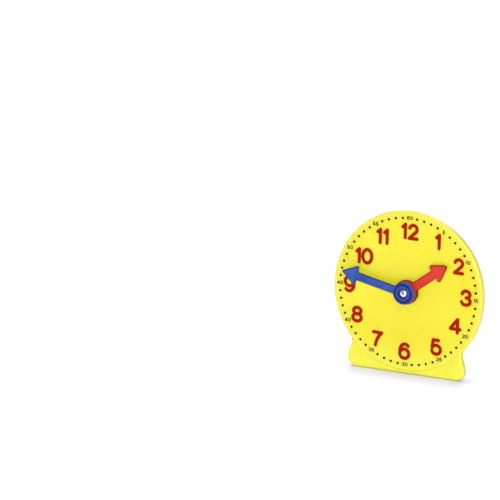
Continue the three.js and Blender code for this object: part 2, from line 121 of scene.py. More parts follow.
def outwards():
    # in edit mode: doubles merged, slivers gone and every face turned outwards
    bpy.ops.mesh.select_all(action="SELECT")
    bpy.ops.mesh.remove_doubles(threshold=weld)
    bpy.ops.mesh.dissolve_degenerate(threshold=weld)
    bpy.ops.mesh.delete_loose(use_verts=True, use_edges=True, use_faces=False)
    bpy.ops.mesh.select_all(action="SELECT")
    bpy.ops.mesh.normals_make_consistent(inside=False)


weld = 0.0004
flatFacing = 0.99
roundProfile = 0.5
smoothing = {"angle": 32, "weight": 60}


# Shaping
def applyModifier(piece, kind, **settings):
    pick(piece)
    modifier = piece.modifiers.new(kind.title(), kind)
    for key, value in settings.items():
        setattr(modifier, key, value)
    bpy.ops.object.modifier_apply(modifier=modifier.name)


def combine(piece, tool, operation="UNION"):
    applyModifier(piece, "BOOLEAN", object=tool, operation=operation, solver="EXACT")
    bpy.data.objects.remove(tool)
    return piece


def joined(pieces, name):
    # several objects made one mesh, for bars that stand apart from each other
    pick(pieces[0])
    for piece in pieces:
        piece.select_set(True)
    bpy.ops.object.join()
    return named(name)


def copyOf(piece, name, matrix):
    twin = piece.copy()
    twin.data = piece.data.copy()
    twin.name = twin.data.name = name
    twin.data.transform(matrix)
    bpy.context.collection.objects.link(twin)
    return twin


def roundRim(piece, level, edge, segments):
    # rounds every rim of the flat faces that lie at a level
    if edge:
        editFaces(piece, lambda centre, normal: abs(centre.z - level) < weld and abs(normal.z) > flatFacing)
        bpy.ops.mesh.region_to_loop()
        bpy.ops.mesh.bevel(
            offset=edge, segments=segments, profile=roundProfile, affect="EDGES", clamp_overlap=False)
        objectMode()
    return piece


def cylinder(radius, back, front, sides, x=0, y=0, name="bar"):
    deselectAll()
    bpy.ops.mesh.primitive_cylinder_add(
        vertices=sides, radius=radius, depth=front - back, end_fill_type="NGON",
        location=(x, y, (front + back) / 2))
    piece = named(name)
    bpy.ops.object.transform_apply(location=True, rotation=True, scale=True)
    return piece


def cuboid(width, height, back, front):
    deselectAll()
    bpy.ops.mesh.primitive_cube_add(
        size=1, location=(0, 0, (front + back) / 2), scale=(width, height, front - back))
    piece = named("block")
    bpy.ops.object.transform_apply(location=True, rotation=True, scale=True)
    return piece


def slab(name, outline, back, front, frontEdge=0, backEdge=0, segments=1, ringWidth=0):
    # an outline of (x, y) points raised between two levels, or only a ring of a width inside it
    deselectAll()
    bpy.ops.mesh.primitive_circle_add(vertices=len(outline), radius=1, fill_type="NGON")
    piece = named(name)
    for vertex, (x, y) in zip(piece.data.vertices, outline):
        vertex.co = (x, y, back)
    bpy.ops.object.mode_set(mode="EDIT")
    bpy.ops.mesh.select_all(action="SELECT")
    if ringWidth:
        bpy.ops.mesh.inset(thickness=ringWidth, use_even_offset=True)
        bpy.ops.mesh.delete(type="FACE")
        bpy.ops.mesh.select_all(action="SELECT")
    bpy.ops.mesh.extrude_region_move(TRANSFORM_OT_translate={"value": (0, 0, front - back)})
    outwards()
    objectMode()
    roundRim(piece, front, frontEdge, segments)
    return roundRim(piece, back, backEdge, segments)


def turned(name, profile, sides):
    # a body of revolution about Z from (radius, level) points, on the axis at both ends
    deselectAll()
    bpy.ops.mesh.primitive_circle_add(vertices=len(profile), radius=1, fill_type="NOTHING")
    piece = named(name)
    for vertex, (radius, level) in zip(piece.data.vertices, profile):
        vertex.co = (radius, 0, level)
    bpy.ops.object.mode_set(mode="EDIT")
    bpy.ops.mesh.select_all(action="SELECT")
    bpy.ops.mesh.spin(steps=sides, angle=2 * math.pi, center=(0, 0, 0), axis=(0, 0, 1))
    outwards()
    objectMode()
    return piece


def arcPoints(x, y, radiusX, radiusY, start, end, steps):
    # points along an arc, whose ends are given in degrees
    angles = [math.radians(start + (end - start) * step / steps) for step in range(steps + 1)]
    return [(x + radiusX * math.cos(angle), y + radiusY * math.sin(angle)) for angle in angles]


def curvePoints(start, first, second, end, steps):
    # points along a cubic curve
    points = []
    for step in range(steps + 1):
        t = step / steps
        weights = ((1 - t) ** 3, 3 * t * (1 - t) ** 2, 3 * t * t * (1 - t), t ** 3)
        points.append(tuple(
            sum(weight * point[axis] for weight, point in zip(weights, (start, first, second, end)))
            for axis in (0, 1)))
    return points


def withoutRepeats(points, nearest=0.02):
    kept = []
    for point in points:
        if not kept or math.dist(point, kept[-1]) > nearest:
            kept.append(point)
    return kept[:-1] if math.dist(kept[0], kept[-1]) < nearest else kept


def mirrored(points):
    return [(-x, y) for x, y in reversed(points)]


def cleaned(piece):
    # smooth where it is round, with flat faces that stay flat beside their rounded edges
    pick(piece)
    bpy.ops.object.mode_set(mode="EDIT")
    outwards()
    objectMode()
    bpy.ops.object.shade_smooth_by_angle(angle=math.radians(smoothing["angle"]))
    applyModifier(piece, "WEIGHTED_NORMAL", weight=smoothing["weight"], keep_sharp=True)
    return piece


def paint(piece, material, other=None, chosen=None):
    # the whole piece in one finish, and the faces where chosen(centre, normal) says in another
    piece.data.materials.clear()
    piece.data.materials.append(material)
    if other:
        piece.data.materials.append(other)
        editFaces(piece, chosen)
        piece.active_material_index = 1
        bpy.ops.object.material_slot_assign()
        objectMode()


def finishPiece(piece, body, slot, *nodes):
    # stands the drawn piece up in the frame, lets it ride on its body and puts it in the nodes' place
    piece.data.transform(standUp)
    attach(piece, body)
    if nodes:
        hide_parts(*nodes)


# Finishes. Their patterns are read in object coordinates, which are metres in the frame
def setInputs(tree, node, inputs):
    # another node's output is linked to the socket, anything else is set as its value
    for socket, value in inputs.items():
        if isinstance(value, bpy.types.NodeSocket):
            tree.links.new(value, node.inputs[socket])
        else:
            node.inputs[socket].default_value = value
    return node


def addNode(tree, kind, inputs, **settings):
    node = tree.nodes.new("ShaderNode" + kind)
    for key, value in settings.items():
        setattr(node, key, value)
    return setInputs(tree, node, inputs)


def newMaterial(name, roughness, metallic=0.0):
    material = bpy.data.materials.new(name)
    material.use_nodes = True
    tree = material.node_tree
    shader = setInputs(tree, tree.nodes["Principled BSDF"], {"Roughness": roughness, "Metallic": metallic})
    return material, tree, shader


def objectCoordinates(tree, scale=(1, 1, 1), location=(0, 0, 0)):
    place = addNode(tree, "TexCoord", {})
    mapping = {"Vector": place.outputs["Object"], "Scale": scale, "Location": location}
    return addNode(tree, "Mapping", mapping).outputs["Vector"]


def noise(tree, vector, scale, detail, roughness=0.5):
    pattern = {"Vector": vector, "Scale": scale, "Detail": detail, "Roughness": roughness}
    return addNode(tree, "TexNoise", pattern).outputs["Fac"]


def ramp(tree, value, stops, *colors):
    # a colour ramp with a colour for each stop
    node = addNode(tree, "ValToRGB", {"Fac": value})
    elements = node.color_ramp.elements
    while len(elements) < len(stops):
        elements.new(0.5)  # between the two it starts with
    for element, position, color in zip(elements, stops, colors):
        element.position = position
        element.color = (*color, 1)
    return node.outputs["Color"]


def spread(tree, value, toMin, toMax, fromMin=0.0, fromMax=1.0):
    limits = {"From Min": fromMin, "From Max": fromMax, "To Min": toMin, "To Max": toMax}
    return addNode(tree, "MapRange", {"Value": value, **limits}).outputs["Result"]


def mixColors(tree, first, second, factor):
    # sockets by number, since the node's factors and colours share their names
    return addNode(tree, "Mix", {0: factor, 6: first, 7: (*second, 1)}, data_type="RGBA").outputs[2]


def product(tree, first, second):
    return addNode(tree, "Math", {0: first, 1: second}, operation="MULTIPLY").outputs["Value"]


def addBump(tree, shader, height, strength, distance):
    bump = addNode(tree, "Bump", {"Height": height, "Strength": strength, "Distance": distance})
    setInputs(tree, shader, {"Normal": bump.outputs["Normal"]})


def turnedAway(tree, none, full, reach):
    # how far a surface turns away from straight to the front or the back, edges felt within a reach
    surface = addNode(tree, "Bevel", {"Radius": reach})
    towards = {0: surface.outputs["Normal"], 1: (0, 1, 0)}
    facing = addNode(tree, "VectorMath", towards, operation="DOT_PRODUCT")
    size = addNode(tree, "Math", {0: facing.outputs["Value"]}, operation="ABSOLUTE")
    return spread(tree, size.outputs["Value"], 1, 0, none, full)


# Noises are (scale, detail, roughness), bumps are (strength, depth in metres) and roughness is (low, high)
print("materials")
plasticIor = 1.48
caseFinish = {
    "color": (0.66, 0.572, 0.006),
    "paler": (0.68, 0.605, 0.02),
    "deeper": (0.65, 0.545, 0.002),
    "cloud": (26, 2),
    "cloudStops": (0.3, 0.5, 0.72),
    # painted sheen and shade: a paler, duller band outside the ring of dots, standing for light on the rim's
    # rounding
    "rimSheenAndShade": (0.625, 0.565, 0.055),
    "bandFrom": 47.6,
    "bandTo": 50.4,
    "bandSoftness": 0.7,
    "bandDepth": 0.7,
    # painted light: the foot made paler towards the floor, as if it caught more light
    "foot": (0.73, 0.665, 0.045),
    "footLightFrom": 0.02,
    "footLightTo": 0.004,
    # painted shade: a darker line where the disc steps down onto the foot
    "creaseShade": (0.56, 0.45, 0.008),
    "creaseRadius": 50.5,
    "creaseSoftness": 0.7,
    "creaseDepth": 0.45,
    # painted shade: a darker, greyer colour on the walls that turn away from the front and back
    "wall": (0.58, 0.525, 0.09),
    "wallFacing": (0.25, 0.9),
    "wallShadeReach": 0.0002,
    # painted shade: a darker olive on every face that looks upwards
    "topShade": (0.36, 0.335, 0.1),
    "topShadeCover": 0.85,
    "topShadeFacing": (0.3, 0.9),
    "wear": (420, 6, 0.65),
    "roughness": (0.36, 0.48),
    "plainRoughness": 0.4,
    "grain": (5200, 2),
    "grainBump": (0.35, 0.000012),
    "glow": 0.75,
    "glowReach": (6, 3.4, 0.6),
}


def frontTint(tree, vector):
    # faint clouds, a band of painted sheen and shade outside the ring of dots, and a foot painted paler as
    # if lit more, below a line of painted shade along the dial's crease
    values = caseFinish
    cloud = noise(tree, vector, *values["cloud"])
    tint = ramp(tree, cloud, values["cloudStops"], values["deeper"], values["color"], values["paler"])
    fromAxis = {0: objectCoordinates(tree, (1, 0, 1), (0, 0, -axisHeight))}
    reach = addNode(tree, "VectorMath", fromAxis, operation="LENGTH").outputs["Value"]

    soft = values["bandSoftness"]
    inner = [(values["bandFrom"] + side * soft) * mm for side in (-1, 1)]
    outer = [(values["bandTo"] + side * soft) * mm for side in (-1, 1)]
    # painted sheen and shade over the band outside the ring of dots
    band = product(
        tree, spread(tree, reach, 0, values["bandDepth"], *inner), spread(tree, reach, 1, 0, *outer))
    height = addNode(tree, "SeparateXYZ", {"Vector": vector}).outputs["Z"]
    # painted light, rising towards the floor
    low = spread(tree, height, 0, 1, values["footLightFrom"], values["footLightTo"])
    banded = mixColors(tree, tint, values["rimSheenAndShade"], band)
    footLit = mixColors(tree, banded, values["foot"], low)

    # painted shade along the step from the disc to the foot, only on the foot
    middle, softness = values["creaseRadius"] * mm, values["creaseSoftness"] * mm
    line = product(
        tree,
        spread(tree, reach, 0, values["creaseDepth"], middle - softness, middle),
        spread(tree, reach, 1, 0, middle, middle + softness))
    return mixColors(tree, footLit, values["creaseShade"], product(tree, line, low))


def makeCasePlastic():
    # satin moulded plastic, with painted shade on its walls and on what faces up
    values = caseFinish
    material, tree, shader = newMaterial("case_plastic", values["plainRoughness"])
    vector = objectCoordinates(tree)
    # painted shade on the walls, by how far they turn away
    wallShade = turnedAway(tree, *values["wallFacing"], values["wallShadeReach"])
    bare = mixColors(tree, frontTint(tree, vector), values["wall"], wallShade)
    surface = addNode(tree, "NewGeometry", {})
    upward = addNode(tree, "SeparateXYZ", {"Vector": surface.outputs["True Normal"]}).outputs["Z"]
    # painted shade on what faces up
    topShade = spread(tree, upward, 0, values["topShadeCover"], *values["topShadeFacing"])
    wear = noise(tree, vector, *values["wear"])
    setInputs(tree, shader, {
        "Base Color": mixColors(tree, bare, values["topShade"], topShade),
        "Roughness": spread(tree, wear, *values["roughness"]),
        "Subsurface Weight": values["glow"],
        "Subsurface Radius": values["glowReach"],
        "Subsurface Scale": mm,
        "IOR": plasticIor,
    })
    addBump(tree, shader, noise(tree, vector, *values["grain"]), *values["grainBump"])
    return material


handFinish = {
    "flow": (160, 3, 0.55),
    "flowStops": (0.32, 0.5, 0.7),
    "sideShadeFacing": (0.74, 0.995),
    "sideShadeReach": 0.0013,
    "scuff": (900, 5, 0.6),
    "shine": 0.25,
    "grain": (6000, 2),
    "grainBump": (0.3, 0.00001),
}
# each side colour is painted shade for a hand's sides and rounded edges
handColors = {
    "red_plastic": {
        "side": (0.12, 0.003, 0.001),
        "darker": (0.46, 0.019, 0.006),
        "color": (0.495, 0.025, 0.009),
        "lighter": (0.53, 0.034, 0.014),
        "roughness": (0.3, 0.42),
    },
    "blue_plastic": {
        "side": (0.003, 0.009, 0.08),
        "darker": (0.012, 0.042, 0.2),
        "color": (0.02, 0.054, 0.235),
        "lighter": (0.032, 0.07, 0.27),
        "roughness": (0.28, 0.4),
    },
    # painted shade: the hour hub's upright wall nearly black red, as if in deep shadow
    "red_wall": {
        "side": (0.05, 0.001, 0.0003),
        "darker": (0.04, 0.001, 0.0003),
        "color": (0.05, 0.0012, 0.0004),
        "lighter": (0.06, 0.0015, 0.0005),
        "roughness": (0.3, 0.42),
    },
    # the plain blue with no painted side shade, so the blue hub's wall stays lit
    "blue_wall": {
        "side": (0.024, 0.055, 0.24),
        "darker": (0.018, 0.048, 0.21),
        "color": (0.024, 0.055, 0.24),
        "lighter": (0.032, 0.066, 0.27),
        "roughness": (0.28, 0.4),
    },
}


def makeHandPlastic(name, side, darker, color, lighter, roughness):
    # moulded hands: faint flow marks, a fine satin grain, and painted shade down their sides
    values = handFinish
    material, tree, shader = newMaterial(name, roughness[0])
    vector = objectCoordinates(tree)
    tint = ramp(tree, noise(tree, vector, *values["flow"]), values["flowStops"], darker, color, lighter)
    sideShade = turnedAway(tree, *values["sideShadeFacing"], values["sideShadeReach"])
    setInputs(tree, shader, {
        "Base Color": mixColors(tree, tint, side, sideShade),
        "Roughness": spread(tree, noise(tree, vector, *values["scuff"]), *roughness),
        "IOR": plasticIor,
        "Specular IOR Level": values["shine"],
    })
    addBump(tree, shader, noise(tree, vector, *values["grain"]), *values["grainBump"])
    return material


inkFinish = {
    "cover": (1500, 4, 0.6),
    "coverStops": (0.35, 0.6),
    "roughness": (0.42, 0.6),
    "plainRoughness": 0.5,
    "shine": 0.03,
    "grain": (9000, 2),
    "grainBump": (0.25, 0.000006),
}
inkColors = {
    "red_ink": {"darker": (0.26, 0.002, 0.0001), "color": (0.33, 0.011, 0.0003)},
    "black_ink": {"darker": (0.006, 0.006, 0.001), "color": (0.012, 0.012, 0.002)},
}


def makeInk(name, darker, color):
    # printed ink: slightly uneven cover, with a fine roughness of its own
    values = inkFinish
    material, tree, shader = newMaterial(name, values["plainRoughness"])
    vector = objectCoordinates(tree)
    cover = noise(tree, vector, *values["cover"])
    setInputs(tree, shader, {
        "Base Color": ramp(tree, cover, values["coverStops"], darker, color),
        "Roughness": spread(tree, cover, *values["roughness"]),
        "Specular IOR Level": values["shine"],
    })
    addBump(tree, shader, noise(tree, vector, *values["grain"]), *values["grainBump"])
    return material


gearFinish = {
    "darker": (0.78, 0.77, 0.71),
    "color": (0.88, 0.87, 0.83),
    "cloud": (240, 3),
    "cloudStops": (0.3, 0.7),
    "wear": (1800, 4),
    "roughness": (0.3, 0.48),
    "plainRoughness": 0.38,
    "glow": 0.1,
    "glowReach": (0.001, 0.001, 0.0008),
    "grain": (5000, 2),
    "grainBump": (0.25, 0.00001),
}


def makeGearPlastic():
    # natural white acetal, a little waxy
    values = gearFinish
    material, tree, shader = newMaterial("gear_acetal", values["plainRoughness"])
    vector = objectCoordinates(tree)
    cloud = noise(tree, vector, *values["cloud"])
    setInputs(tree, shader, {
        "Base Color": ramp(tree, cloud, values["cloudStops"], values["darker"], values["color"]),
        "Roughness": spread(tree, noise(tree, vector, *values["wear"]), *values["roughness"]),
        "Subsurface Weight": values["glow"],
        "Subsurface Radius": values["glowReach"],
    })
    addBump(tree, shader, noise(tree, vector, *values["grain"]), *values["grainBump"])
    return material


steelFinish = {
    "marks": (2600, 4, 0.6),
    "markStops": (0.35, 0.62),
    "markShade": 0.82,
    "markBump": (0.2, 0.000008),
}
steelColors = {
    "plated_steel": {"color": (0.93, 0.93, 0.92), "roughness": (0.26, 0.4)},
    # painted shade: a dark brown for the cross recesses, as if in shadow
    "recess_steel": {"color": (0.2, 0.15, 0.11), "roughness": (0.45, 0.65)},
    "drawn_steel": {"color": (0.68, 0.69, 0.70), "roughness": (0.2, 0.34), "streaks": (1, 0.05, 1)},
    "spring_steel": {"color": (0.56, 0.57, 0.58), "roughness": (0.26, 0.4)},
}


def makeSteel(name, color, roughness, streaks=(1, 1, 1)):
    # plated or drawn steel with working marks and faint stains
    values = steelFinish
    material, tree, shader = newMaterial(name, roughness[0], metallic=1.0)
    marks = noise(tree, objectCoordinates(tree, streaks), *values["marks"])
    darker = tuple(values["markShade"] * channel for channel in color)
    setInputs(tree, shader, {
        "Base Color": ramp(tree, marks, values["markStops"], darker, color),
        "Roughness": spread(tree, marks, *roughness),
    })
    addBump(tree, shader, marks, *values["markBump"])
    return material


def makeAll(make, choices):
    return [make(name, **values) for name, values in choices.items()]


casePlastic = makeCasePlastic()
redPlastic, bluePlastic, redWallShade, blueWall = makeAll(makeHandPlastic, handColors)
redInk, blackInk = makeAll(makeInk, inkColors)
gearPlastic = makeGearPlastic()
platedSteel, recessShadeSteel, drawnSteel, springSteel = makeAll(makeSteel, steelColors)


print("front case")
caseForm = {
    "radius": nodeBox("front_case")[1].y,
    "halfWidth": 40.5,
    "corner": 6,
    "waist": 38.2,
    "fillet": 5.8,
    "bottom": nodeBox("front_case")[0].y,
}
caseWork = {
    "wall": 2.2,
    "footStep": 0.4,
    "rimReach": 1.6,
    "edge": 1.5,
    "backEdge": 0.6,
    "footEdge": 1.8,
    "flareShares": (0.42, 0.57),
    "bossRadius": 3.3,
    "bossLength": 5.8,
    "bossFloor": 0.8,
    "screwHole": 1.5,
    "platePostRadius": 2.7,
    "platePostFloor": 1.1,
    "collarRadius": 5.4,
    "idlerCollarRadius": 2.3,
    "collarHeight": 0.5,
    "tubeHole": 3.3,
    "pinHole": 1.1,
    "pinFloor": 1,
    "overrun": 1,
    "discSides": 240,
    "edgeSteps": 8,
    "backEdgeSteps": 4,
    "cornerSteps": 14,
    "flareSteps": 16,
    "filletSteps": 12,
    "postSides": 32,
    "collarSides": 64,
    "tubeHoleSides": 48,
    "holeSides": 20,
}
dialBack = -caseWork["footStep"] - caseWork["wall"]
rimBack = dialBack - caseWork["rimReach"]
bossBack = dialBack - caseWork["bossLength"]
axis = Vector((0, 0, 0))
idlerAxis = nodeMiddle("idler_pin")
screwCounts = {"cover_screw": 6, "gear_plate_screw": 3}
coverScrews, plateScrews = (
    [nodeMiddle(f"{name}_{number}") for number in range(1, count + 1)]
    for name, count in screwCounts.items())


def drawnIn(form, wall):
    # the same outline set in by an even wall
    smaller = {key: value - wall for key, value in form.items()}
    return {**smaller, "fillet": form["fillet"] + wall, "bottom": form["bottom"] + wall}


def footOutline(form):
    # straight sole, round corners, flared sides and the fillet up to the disc. Inside the disc it closes
    # along two circles that pass through the disc's centre and touch its rim
    radius, halfWidth, corner = form["radius"], form["halfWidth"], form["corner"]
    waist, fillet = form["waist"], form["fillet"]
    shoulder = form["bottom"] + corner
    filletX = waist + fillet
    filletY = -math.sqrt((radius + fillet) ** 2 - filletX ** 2)
    meet = math.degrees(math.atan2(filletY, filletX))
    meetX, meetY = radius * math.cos(math.radians(meet)), radius * math.sin(math.radians(meet))
    first, second = (shoulder + share * (filletY - shoulder) for share in caseWork["flareShares"])
    cornerSteps, filletSteps = caseWork["cornerSteps"], caseWork["filletSteps"]
    flare = [(halfWidth, shoulder), (halfWidth, first), (waist, second), (waist, filletY)]
    right = [
        *arcPoints(halfWidth - corner, shoulder, corner, corner, -90, 0, cornerSteps),
        *curvePoints(*flare, caseWork["flareSteps"]),
        *arcPoints(filletX, filletY, fillet, fillet, 180, 180 + meet, filletSteps),
        *arcPoints(meetX / 2, meetY / 2, radius / 2, radius / 2, meet, meet + 180, filletSteps),
    ]
    return withoutRepeats([*right, *mirrored(right)])


def clockBlank(name, form, back, front, edge=0, backEdge=0, footEdge=0, step=0):
    # a disc and foot in one, between two levels
    steps = caseWork["edgeSteps"]
    disc = cylinder(form["radius"], back, front, caseWork["discSides"], name=name)
    roundRim(disc, front, edge, steps)
    roundRim(disc, back, backEdge, caseWork["backEdgeSteps"])
    foot = slab(name + "_foot", footOutline(form), back, front - step, footEdge, backEdge, steps)
    return combine(disc, foot)


def bars(places, radius, back, front, sides):
    return [cylinder(radius, back, front, sides, place.x, place.y) for place in places]


def makeFrontCase():
    values = caseWork
    past = values["overrun"]
    shell = clockBlank(
        "front_case_shell", caseForm, rimBack, 0,
        values["edge"], values["backEdge"], values["footEdge"], values["footStep"])
    hollow = clockBlank("case_hollow", drawnIn(caseForm, values["wall"]), rimBack - past, dialBack)
    combine(shell, hollow, "DIFFERENCE")
    postBack = nodeBox("front_case")[0].z
    root = dialBack / 2
    collarBack = dialBack - values["collarHeight"]
    postSides, holeSides = values["postSides"], values["holeSides"]
    bossFloor, postFloor = dialBack - values["bossFloor"], dialBack - values["platePostFloor"]
    combine(shell, joined([
        *bars(coverScrews, values["bossRadius"], bossBack, root, postSides),
        *bars(plateScrews, values["platePostRadius"], postBack, root, postSides),
        *bars([axis], values["collarRadius"], collarBack, root, values["collarSides"]),
        *bars([idlerAxis], values["idlerCollarRadius"], collarBack, root, postSides),
    ], "case_bosses"))
    combine(shell, joined([
        *bars(coverScrews, values["screwHole"], bossBack - past, bossFloor, holeSides),
        *bars(plateScrews, values["screwHole"], postBack - past, postFloor, holeSides),
        *bars([axis], values["tubeHole"], collarBack - past, past, values["tubeHoleSides"]),
        *bars([idlerAxis], values["pinHole"], collarBack - past, -values["pinFloor"], holeSides),
    ], "case_holes"), "DIFFERENCE")
    paint(shell, casePlastic)
    finishPiece(cleaned(shell), "case", "case_yellow", "front_case")


makeFrontCase()


print("rear cover")
coverSetIn = 7.9
coverForm = {
    "radius": caseForm["radius"] - coverSetIn,
    "halfWidth": 32.5,
    "corner": 4,
    "waist": 31,
    "fillet": 9,
    "bottom": caseForm["bottom"],
}
coverWork = {
    "wall": 2,
    "seatGap": 0.3,
    "edge": 1.4,
    "sole": 3.6,
    "lipThickness": 3.4,
    "postRadius": 4.1,
    "postSeat": 3.6,
    "counterbore": 3,
    "postSides": 40,
    "holeSides": 24,
    "counterboreSides": 48,
    "heelHalfWidth": 18,
    "heelReach": 10,
    "heelHeight": 25,
    "heelToe": 3.6,
    "heelEdge": 1.1,
    "heelEdgeSteps": 5,
}
coverBack = nodeBox("rear_cover")[0].z + coverWork["heelReach"]
heelTop = caseForm["bottom"] + coverWork["heelHeight"]
heelSlope = coverWork["heelReach"] / (coverWork["heelHeight"] - coverWork["heelToe"])
sidewise = Matrix.Rotation(-math.pi / 2, 4, "Y")


def sideBlock(name, outline, halfWidth):
    # a block drawn from the side as (level, height) points
    block = slab(name, outline, -halfWidth, halfWidth)
    block.data.transform(sidewise)
    return block


def makeHeel():
    values = coverWork
    sole, root = caseForm["bottom"], coverBack + values["wall"] / 2
    toeLevel = coverBack - values["heelReach"]
    block = sideBlock("cover_heel", [
        (toeLevel, sole), (root, sole), (root, heelTop), (coverBack, heelTop),
        (toeLevel, sole + values["heelToe"]),
    ], values["heelHalfWidth"])
    editEdges(block, lambda a, b: min(a.z, b.z) < coverBack - weld and max(a.y, b.y) > sole + weld)
    bpy.ops.mesh.bevel(
        offset=values["heelEdge"], segments=values["heelEdgeSteps"], profile=roundProfile, affect="EDGES")
    objectMode()
    return block


def makeHeelHollow():
    values = coverWork
    solePlane = caseForm["bottom"] + values["sole"]
    front = coverBack + values["wall"] * math.hypot(1, heelSlope)
    return sideBlock("heel_hollow", [
        (front - (heelTop - solePlane) * heelSlope, solePlane), (front, solePlane), (front, heelTop),
    ], values["heelHalfWidth"] - values["wall"])


def makeRearCover():
    values = coverWork
    past, gap, wall = caseWork["overrun"], values["seatGap"], values["wall"]
    lipFront, postFront = dialBack - gap, bossBack - gap
    shell = clockBlank("rear_cover_shell", coverForm, coverBack, rimBack - gap, backEdge=values["edge"])
    lipForm = drawnIn(caseForm, caseWork["wall"] + gap)
    combine(shell, clockBlank("cover_lip", lipForm, lipFront - values["lipThickness"], lipFront))
    combine(shell, makeHeel())
    hollowForm = {**drawnIn(coverForm, wall), "bottom": coverForm["bottom"] + values["sole"]}
    combine(shell, clockBlank("cover_hollow", hollowForm, coverBack + wall, lipFront + past), "DIFFERENCE")
    combine(shell, makeHeelHollow(), "DIFFERENCE")
    posts = bars(coverScrews, values["postRadius"], coverBack + wall / 2, postFront, values["postSides"])
    combine(shell, joined(posts, "cover_posts"))
    behind = coverBack - past
    holes = bars(coverScrews, caseWork["screwHole"], behind, postFront + past, values["holeSides"])
    combine(shell, joined(holes, "cover_screw_holes"), "DIFFERENCE")
    seat = coverBack + values["postSeat"]
    seats = bars(coverScrews, values["counterbore"], behind, seat, values["counterboreSides"])
    combine(shell, joined(seats, "cover_counterbores"), "DIFFERENCE")
    paint(shell, casePlastic)
    finishPiece(cleaned(shell), "case", "case_yellow", "rear_cover")


makeRearCover()


print("hands")
hourForm = {
    "turn": 53.5,
    "length": 33.4,
    "armWidth": 5.75,
    "headWidth": 12,
    "headLength": 10.8,
    "corner": 0.6,
    "thickness": 1.7,
    "edge": 0.8,
}
minuteForm = {
    "turn": 282,
    "length": 43.95,
    "armWidth": 5.4,
    "headWidth": 12.6,
    "headLength": 10.6,
    "corner": 0.06,
    "thickness": 1.7,
    "edge": 0.8,
    "drop": 0.3,
}
hubForm = {
    "hourRadius": 7.7,
    "minuteRadius": 7.15,
    "edge": 0.5,
    "backEdge": 1.7,
    "wallFacing": 0.55,
    "rimWidth": 0.5,
    "grooveWidth": 1.2,
    "grooveDepth": 1.1,
    "grooveRound": 0.45,
    "grooveDraft": 0.06,
    "crownRise": 0.2,
    "counterbore": 3.4,
    "counterboreDepth": 1.3,
    "counterboreEdge": 0.12,
    "socket": 2.1,
    "socketFlat": 1.6,
    "webThickness": 0.6,
    "screwHole": 1.05,
    "keyFlat": 2.788,
    "cutSpanShare": 4,
    "sides": 120,
    "edgeSteps": 6,
    "grooveSteps": 12,
    "seatSides": 48,
    "openingSides": 96,
    "screwHoleSides": 32,
}
armSteps = {"barb": 12, "tip": 8, "edge": 6}


def handOutline(form):
    # arm and arrow head, pointing at twelve, with the head's three corners round
    corner = form["corner"] + form["edge"]
    headBack = form["length"] - form["headLength"]
    barbX, barbY = form["headWidth"] / 2 - corner, headBack + corner
    tipY = form["length"] - corner
    edgeNormal = math.degrees(math.atan2(barbX, tipY - barbY))
    right = [
        (form["armWidth"] / 2, 0),
        (form["armWidth"] / 2, headBack),
        *arcPoints(barbX, barbY, corner, corner, -90, edgeNormal, armSteps["barb"]),
        *arcPoints(0, tipY, corner, corner, edgeNormal, 90, armSteps["tip"]),
    ]
    return withoutRepeats([*right, *mirrored(right)])


def makeArm(name, form, front):
    back, edge = front - form["thickness"], form["edge"]
    return slab(name, handOutline(form), back, front, edge, edge, armSteps["edge"])


def hubEdge(radius, front):
    # the quarter round between a hub's wall and its front
    edge = hubForm["edge"]
    return arcPoints(radius - edge, front - edge, edge, edge, 0, 90, hubForm["edgeSteps"])


def finishHand(hub, form, radius, plastic, wall, *place):
    # the hub's upright wall in a tone of its own, painted shade on the red hub and the plain blue without
    # painted side shade on the blue, the rest in the hand's plastic, and the time set
    def inWall(centre, normal):
        out = math.hypot(centre.x, centre.y)
        outward = (centre.x * normal.x + centre.y * normal.y) / max(out, weld)
        return radius - hubForm["edge"] < out < radius + weld and outward > hubForm["wallFacing"]

    paint(hub, plastic, wall, inWall)
    hub.data.transform(Matrix.Rotation(-math.radians(form["turn"]), 4, "Z"))
    finishPiece(cleaned(hub), *place)


def makeHourHand():
    low, high = nodeBox("hour_hand")
    back, front = low.z, high.z
    radius, past = hubForm["hourRadius"], caseWork["overrun"]
    profile = [(0, back), (radius, back), *hubEdge(radius, front), (0, front)]
    hub = turned("hour_hand_hub", profile, hubForm["sides"])
    combine(hub, makeArm("hour_hand_arm", hourForm, front))
    # the seat for the hour wheel's tube: round, with two flats
    seat = cylinder(caseWork["tubeHole"], back - past, front + past, hubForm["seatSides"])
    span = hubForm["cutSpanShare"] * radius
    key = cuboid(2 * hubForm["keyFlat"], span, back - 2 * past, front + 2 * past)
    combine(seat, key, "INTERSECT")
    combine(hub, seat, "DIFFERENCE")
    finishHand(hub, hourForm, radius, redPlastic, redWallShade, "hour_set", "hand_red", "hour_hand")


